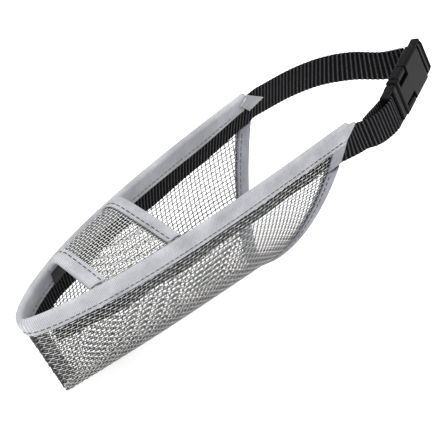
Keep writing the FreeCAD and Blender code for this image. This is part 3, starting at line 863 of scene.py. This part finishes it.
# Directions of the buckle: along it, across the webbing, and out of its face.
UP = np.array([0.0, 0.0, 1.0])
LEVEL = np.array([math.cos(BUCKLE_TURN), math.sin(BUCKLE_TURN), 0])
OUTWARD = np.array([math.sin(BUCKLE_TURN), -math.cos(BUCKLE_TURN), 0])
ALONG = LEVEL * math.cos(BUCKLE_PITCH) + UP * math.sin(BUCKLE_PITCH)
UPRIGHT = np.cross(OUTWARD, ALONG)
ACROSS = UPRIGHT * math.cos(BUCKLE_LEAN) - OUTWARD * math.sin(BUCKLE_LEAN)
FACING = OUTWARD * math.cos(BUCKLE_LEAN) + UPRIGHT * math.sin(BUCKLE_LEAN)

PATH_SPACING = 0.25  # between the stations of a strap's path
SPAN_POINTS = 40  # points worked out between two given points of a path
ROOT_OVERLAP = 5.0  # how far ahead of a tip a strap's root begins
ROOT_INSET = 0.15  # how far inside the sewn webbing it lies there
ROOT_STRAIGHT = 4.0  # straight run behind the line that the neck strap swings about
ROOT_REACH = 11.0  # where the root ends, behind that line
# Bends of the right strap as (x, y).
RIGHT_STRAP_BENDS = ((224.0, 26.4), (240.0, 22.6), (252.5, 15.2), (263.4, 3.2))
TURN_START = 0.5  # share of the right strap after which it leans as the buckle does
TURN_POWER = 1.5
BAR_APPROACH = 2.4  # from the turn round the socket's bar inwards to the strap's end
FOLD_HEIGHTS = (-4.4, -3.1, -1.8, -0.5)  # of the fold's straight start, out of the middle
FOLD_END = -2.0
TAIL_SHARES = (0.62, 0.93)  # of the right strap's length, between which the tail lies
TAIL_GAP = 0.4
TAIL_SAG = 1.0
# Bends of the left strap as (x, distance outside its straight line), then inside it.
LEFT_BOW = ((212.0, 1.6), (221.0, 1.6))
LEFT_RETURN = ((220.0, 2.4), (212.0, 0.2))
LEFT_TURN_START = 3.0  # distance along the left strap at which it begins to lean
LEFT_TURN_RUN = 12.0


def on_buckle(u, w):
    """A point in the middle of the buckle's width, u along it and w out of its middle."""
    return BUCKLE_CENTRE + ALONG * u + FACING * w


def round_bar(middle, degrees):
    """Points of webbing that turns round the bar at this distance along the buckle."""
    return [on_buckle(middle + BAR_WRAP * math.cos(a), BAR_WRAP * math.sin(a))
            for a in np.radians(degrees)]


def smooth_path(points):
    """Evenly spaced points on a smooth curve through the given points."""
    points = np.asarray(points, float)
    knots = lengths_along(points)
    tangents = np.gradient(points, knots, axis=0)
    t = np.linspace(0, 1, SPAN_POINTS, endpoint=False)[:, None]
    # Hermite weights of the points at a span's two ends and of their tangents.
    h00 = 2 * t ** 3 - 3 * t ** 2 + 1
    h10 = t ** 3 - 2 * t ** 2 + t
    h01 = -2 * t ** 3 + 3 * t ** 2
    h11 = t ** 3 - t ** 2
    dense = []
    for i, span in enumerate(np.diff(knots)):
        dense.append(h00 * points[i] + h10 * span * tangents[i]
                     + h01 * points[i + 1] + h11 * span * tangents[i + 1])
    dense = np.concatenate(dense + [points[-1:]])
    along = lengths_along(dense)
    at = np.linspace(0, along[-1], int(along[-1] / PATH_SPACING) + 1)
    return interpolated(at, along, dense), at


def strap_y():
    """Half the distance between the two straps where they leave the tips."""
    return float(rim_y(1.0)) + SEAM_HALF_GAP - WEBBING_MIDDLE


def ribbon_frame(path, turned):
    """Up and outward directions of webbing on edge, turned from 0 upright to 1 as the buckle."""
    ahead = unit(np.gradient(path, axis=0))
    up = unit(UP[None, :] * (1 - turned)[:, None] + ACROSS[None, :] * turned[:, None])
    face = unit(np.cross(up, ahead))
    outside = np.cross(ahead, UP)
    face *= np.where((face * outside).sum(axis=1, keepdims=True) < 0, -1.0, 1.0)
    return up, face


def ribbon(name, path, up, face, along, body, nodes):
    def place(across, depth):
        return (path[:, None, :] + up[:, None, :] * across[..., None]
                + face[:, None, :] * depth[..., None])

    return ribbed(name, place, along, body, nodes)


def part_of(strap, first, last):
    """The stations of a strap (path, up, face, along) between two distances along it."""
    along = strap[-1]
    keep = (along >= first - 1e-6) & (along <= last + 1e-6)
    return [values[keep] for values in strap]


def route_behind_tip(side):
    """First points of a strap: on the sewn webbing, at the tip and straight behind it."""
    q = rim_share(RIM_LENGTH - ROOT_OVERLAP)
    middle = webbing_top(q, side) + WEBBING_WIDTH / 2
    y, z = side * strap_y(), root_z(side)
    return [wall(q, side, middle, WEBBING_MIDDLE + ROOT_INSET),
            (RIM_LENGTH, y, z), (PIVOT_X, y, z), (PIVOT_X + ROOT_STRAIGHT, y, z)]


def strap_root(name, strap):
    """The first part of a strap, across the line that the neck strap swings about; returns where
    it ends.
    """
    path, along = strap[0], strap[-1]
    root_end = along[int(np.argmax(path[:, 0] > PIVOT_X + ROOT_REACH))]
    piece = ribbon(name, *part_of(strap, 0, root_end), None, [])
    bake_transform(piece)
    return root_end


def right_strap():
    route = route_behind_tip(1)
    route += [(bend_x, bend_y, root_z(1)) for bend_x, bend_y in RIGHT_STRAP_BENDS]
    route.append(on_buckle(BAR_OFFSET - BAR_WRAP, -BAR_WRAP - BAR_APPROACH))
    path, along = smooth_path(route)
    end = along[-1]
    turned = np.clip((along / end - TURN_START) / (1 - TURN_START), 0, 1) ** TURN_POWER
    strap = (path, *ribbon_frame(path, turned), along)
    root_end = strap_root("right_strap_root", strap)
    points, ups, faces, at = part_of(strap, root_end, end)
    arc = ribbon("right_strap_arc", points, ups, faces, at, None, ["right_neck_strap"])
    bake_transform(arc)

    tail_start, tail_end = TAIL_SHARES
    points, ups, faces, at = part_of(strap, tail_start * end, tail_end * end)
    outside = unit(np.cross(UP, unit(np.gradient(points, axis=0))))
    points = points + outside * (WEBBING_THICKNESS + TAIL_GAP) - UP * TAIL_SAG
    tail = ribbon("strap_sewn_tail", points, ups, faces, at, None, ["strap_tail"])
    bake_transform(tail)


def right_strap_fold():
    """The strap's turn over the socket's end bar, lying in the buckle's own frame."""
    route = [on_buckle(BAR_OFFSET - BAR_WRAP, w) for w in FOLD_HEIGHTS]
    route += round_bar(BAR_OFFSET, np.linspace(180, 0, 9))
    route.append(on_buckle(BAR_OFFSET + BAR_WRAP, FOLD_END))
    path, along = smooth_path(route)
    up = np.tile(ACROSS, (len(path), 1))
    face = unit(np.cross(up, unit(np.gradient(path, axis=0))))
    ribbon("right_strap_fold", path, up, face, along, "socket", ["strap_fold"])


def left_strap():
    """The left strap's way to the plug's bar, round it, and back along its own inside."""
    y, z = -strap_y(), root_z(-1)
    route = route_behind_tip(-1)
    route += [(bend_x, y - bow, z) for bend_x, bow in LEFT_BOW]
    route += round_bar(-BAR_OFFSET, np.linspace(90, -90, 7))
    route += [(bend_x, y + bow, z) for bend_x, bow in LEFT_RETURN]
    path, along = smooth_path(route)
    turned = np.clip((along - LEFT_TURN_START) / LEFT_TURN_RUN, 0, 1)
    strap = (path, *ribbon_frame(path, turned), along)
    root_end = strap_root("left_strap_root", strap)
    ribbon("left_strap_doubled", *part_of(strap, root_end, along[-1]), "neck_strap",
           ["left_strap_loop"])


# ------------ tabs and patches
PATCH_CROWN = 0.3
PATCH_STATIONS = 40
PATCH_POINTS = 16
THROAT_TAB_OVERLAP = 1.5  # of a throat tab over the rim tape's lower edge
THROAT_TAB_END = 0.6  # how far it reaches behind the tip
BAND_PATCH_REACH = (1.0, 11.0)  # behind the band's front edge
BAND_PATCH_DROPS = (2.5, 8.3)
# The left tape end narrows behind the tip.
LEFT_END_REACH = (-0.5, 4.0)  # behind the tip
LEFT_END_TOP = (-1.0, 0.2)  # drop of its upper edge at the tip, and its slope
LEFT_END_BOTTOM = (8.5, -1.6)  # drop of its lower edge at its front, and its slope
# Corners of the right tape end as (distance ahead of the tip, distance below the rim).
RIGHT_END_FRONT = np.array([(8.0, -0.3), (13.0, 3.4)])
RIGHT_END_REAR = np.array([(-3.4, 5.4), (7.0, 8.4)])
RIGHT_END_STEPS = 24
RIGHT_END_CROWN = 0.5
RIGHT_END_CLEARANCE = 0.4
FRAY = 0.35  # how far the threads of its cut edge stand out
FRAY_WAVES = (17, 41)
SEAM_FLAP_RANGE = (0.08, 0.86)  # share of the nose seam's height
SEAM_FLAP_DEPTH = 7.0
SEAM_FLAP_RISE = 0.6  # how far it rises for each mm that it reaches back
SEAM_FLAP_THICKNESS = 0.9


def patch(name, side, x_range, drops_at, layer, nodes, material):
    """A flat scrap of tape sewn on a side wall, crowned between its sewn edges."""
    x = np.linspace(*x_range, PATCH_STATIONS)
    q = rim_share(x)
    top, bottom = (np.broadcast_to(edge, x.shape) for edge in drops_at(x))
    t = np.linspace(0, 1, PATCH_POINTS)
    drop = top[:, None] + (bottom - top)[:, None] * t[None, :]
    lengthwise = np.sin(math.pi * np.linspace(0, 1, PATCH_STATIONS))
    crown = PATCH_CROWN * np.sin(math.pi * t)[None, :] * lengthwise[:, None]
    outer = wall(q[:, None], side, drop, layer + np.sign(layer) * crown)
    inner = wall(q[:, None], side, drop, layer + np.sign(layer) * (crown + TAPE_THICKNESS))
    uv = np.stack(np.broadcast_arrays(x[:, None], drop), axis=-1)
    new_piece(name, slab_mesh(outer, inner, uv), material, "muzzle", nodes)


def left_end_drops(x):
    (top, top_slope), (bottom, bottom_slope) = LEFT_END_TOP, LEFT_END_BOTTOM
    return (top + top_slope * (x - RIM_LENGTH),
            bottom + bottom_slope * (x - RIM_LENGTH - LEFT_END_REACH[0]))


def tabs_and_patches():
    sewn_on = MESH_FACE + LAYER_GAP
    for side, name in ((-1, "left"), (1, "right")):
        tab_drops = (BINDING_WIDTH - THROAT_TAB_OVERLAP,
                     RIM_RISE - root_z(side) + WEBBING_WIDTH / 2)
        # The throat tabs use the grey tape darkened by painted shade.
        patch(f"{name}_throat_end", side,
              (RIM_LENGTH - BINDING_WIDTH, RIM_LENGTH + THROAT_TAB_END),
              lambda x, drops=tab_drops: drops, -sewn_on, [f"{name}_throat_tab"], tape_painted_shade)
        # The band's ends inside the rim are coloured near-black: partly painted shade, partly a
        # stitched black tape.
        patch(f"{name}_band_end", side, [BAND_FRONT + reach for reach in BAND_PATCH_REACH],
              lambda x: BAND_PATCH_DROPS, TAPE_ON_WEBBING + LAYER_GAP,
              [f"{name}_band_patch"], dark_tape_and_painted_shade)
    patch("left_tape_end", -1, [RIM_LENGTH + reach for reach in LEFT_END_REACH],
          left_end_drops, -sewn_on, ["left_tip_tab"], tape_grey)


def right_tape_end():
    """Cut end of the rim tape, folded down inside the right tip and sewn flat."""
    a, b = np.meshgrid(np.linspace(0, 1, RIGHT_END_STEPS), np.linspace(0, 1, RIGHT_END_STEPS),
                       indexing="ij")
    edges = [front + (rear - front) * a[..., None]
             for front, rear in zip(RIGHT_END_FRONT, RIGHT_END_REAR)]
    corner = edges[0] + (edges[1] - edges[0]) * b[..., None]
    fray = FRAY * np.sin(FRAY_WAVES[0] * b) * np.sin(FRAY_WAVES[1] * b + 1) * a ** 4
    x = RIM_LENGTH - corner[..., 0] + fray
    z = RIM_RISE - corner[..., 1]
    crown = RIGHT_END_CROWN * np.sin(math.pi * a) * np.sin(math.pi * b)
    y = strap_y() + WEBBING_MIDDLE - TAPE_ON_WEBBING - RIGHT_END_CLEARANCE - crown
    outer = np.stack([x, y, z], axis=-1)
    inner = outer - np.array([0, TAPE_THICKNESS, 0])
    uv = np.stack([x - z, x + z], axis=-1)
    new_piece("right_tape_end", slab_mesh(outer, inner, uv), tape_grey, "muzzle",
              ["right_tip_tab"])


def seam_flaps():
    """Dark seam allowance standing inwards behind the nose seam."""
    height = np.linspace(*SEAM_FLAP_RANGE, 30)[:, None]
    step = np.linspace(0, SEAM_FLAP_DEPTH, 12)[None, :]
    x = KEEL_FRONT[0] * (1 - height) + step
    z = KEEL_FRONT[1] * (1 - height) + SEAM_FLAP_RISE * step
    uv = np.stack([x, z], axis=-1)
    faces_y = (-SEAM_FLAP_THICKNESS / 2, SEAM_FLAP_THICKNESS / 2)
    grids = [np.stack([x, np.full_like(x, y), z], axis=-1) for y in faces_y]
    new_piece("nose_seam_flaps", slab_mesh(*grids, uv), dark_tape_and_painted_shade, "muzzle",
              ["nose_seam_tape"])


def finish_buckle():
    """The CAD's own pieces of the buckle, in black plastic."""
    for name in ("buckle_socket", "plug_base", "upper_prong", "lower_prong"):
        materials = bpy.data.objects[name].data.materials
        materials.clear()
        materials.append(plastic_black)


# ------------ make the object
woven_trough()
woven_band()
bindings()
all_stitches()
side_webbing()
right_strap()
right_strap_fold()
left_strap()
tabs_and_patches()
right_tape_end()
seam_flaps()
finish_buckle()

# ------------ camera, light and floor
# Lengths in metres.
CAMERA_AZIMUTH = math.radians(-50)
CAMERA_ELEVATION = math.radians(30)
CAMERA_DISTANCE = 2.6
AIM_MIDDLE = np.array([0.1, 0, 0])
AIM_RIGHT = 0.0259  # the picture's middle, to the right of that point
AIM_UP = 0.0052
PIXELS_PER_METRE = 2200.0
FRAME_PIXELS = 448
SENSOR = 36.0  # in mm
FLOOR_GAP = 0.002
FLOOR_HALF_SIZE = 3.0
FLOOR_GLOW = 0.42
SKY_STRENGTH = 0.6
WHITE = (1, 1, 1, 1)


def make_camera():
    back = np.array([math.sin(CAMERA_AZIMUTH) * math.cos(CAMERA_ELEVATION),
                     -math.cos(CAMERA_AZIMUTH) * math.cos(CAMERA_ELEVATION),
                     math.sin(CAMERA_ELEVATION)])
    right = np.array([math.cos(CAMERA_AZIMUTH), math.sin(CAMERA_AZIMUTH), 0])
    aim = AIM_MIDDLE + right * AIM_RIGHT + np.cross(back, right) * AIM_UP
    data = bpy.data.cameras.new("camera")
    data.sensor_width = SENSOR
    data.lens = PIXELS_PER_METRE * CAMERA_DISTANCE * SENSOR / FRAME_PIXELS
    data.clip_end = 20
    camera = link(data, "camera")
    camera.location = aim + back * CAMERA_DISTANCE
    camera.rotation_euler = Vector(-back).to_track_quat("-Z", "Y").to_euler()
    bpy.context.scene.camera = camera


def area_light(name, place, target, size, power):
    data = bpy.data.lights.new(name, "AREA")
    data.size = size
    data.energy = power
    light = link(data, name)
    light.location = place
    toward = Vector(target) - Vector(place)
    light.rotation_euler = toward.to_track_quat("-Z", "Y").to_euler()


def make_floor():
    low = cad_box[0][2] - FLOOR_GAP
    corners = [(-1, -1), (1, -1), (1, 1), (-1, 1)]
    mesh = bpy.data.meshes.new("floor")
    mesh.from_pydata([(x * FLOOR_HALF_SIZE, y * FLOOR_HALF_SIZE, low) for x, y in corners],
                     [], [(0, 1, 2, 3)])
    floor = link(mesh, "floor")
    material, _, shader = start_material("pale_floor", (0.93, 0.93, 0.93),
                                         roughness=0.9, specular=0.1)
    shader.inputs["Emission Color"].default_value = WHITE
    shader.inputs["Emission Strength"].default_value = FLOOR_GLOW
    floor.data.materials.append(material)


def make_lights():
    world = bpy.data.worlds.new("studio")
    world.use_nodes = True
    background = world.node_tree.nodes["Background"]
    background.inputs["Color"].default_value = WHITE
    background.inputs["Strength"].default_value = SKY_STRENGTH
    bpy.context.scene.world = world
    centre = (0.13, 0.0, 0.0)
    area_light("key", (-0.15, 0.15, 1.3), centre, size=1.0, power=16)
    area_light("fill", (-0.8, -0.7, 0.6), centre, size=0.8, power=3)
    area_light("edge_light", (1.0, -0.4, 0.7), centre, size=0.5, power=3)


make_camera()
make_floor()
make_lights()
bpy.context.scene.view_settings.view_transform = "Standard"
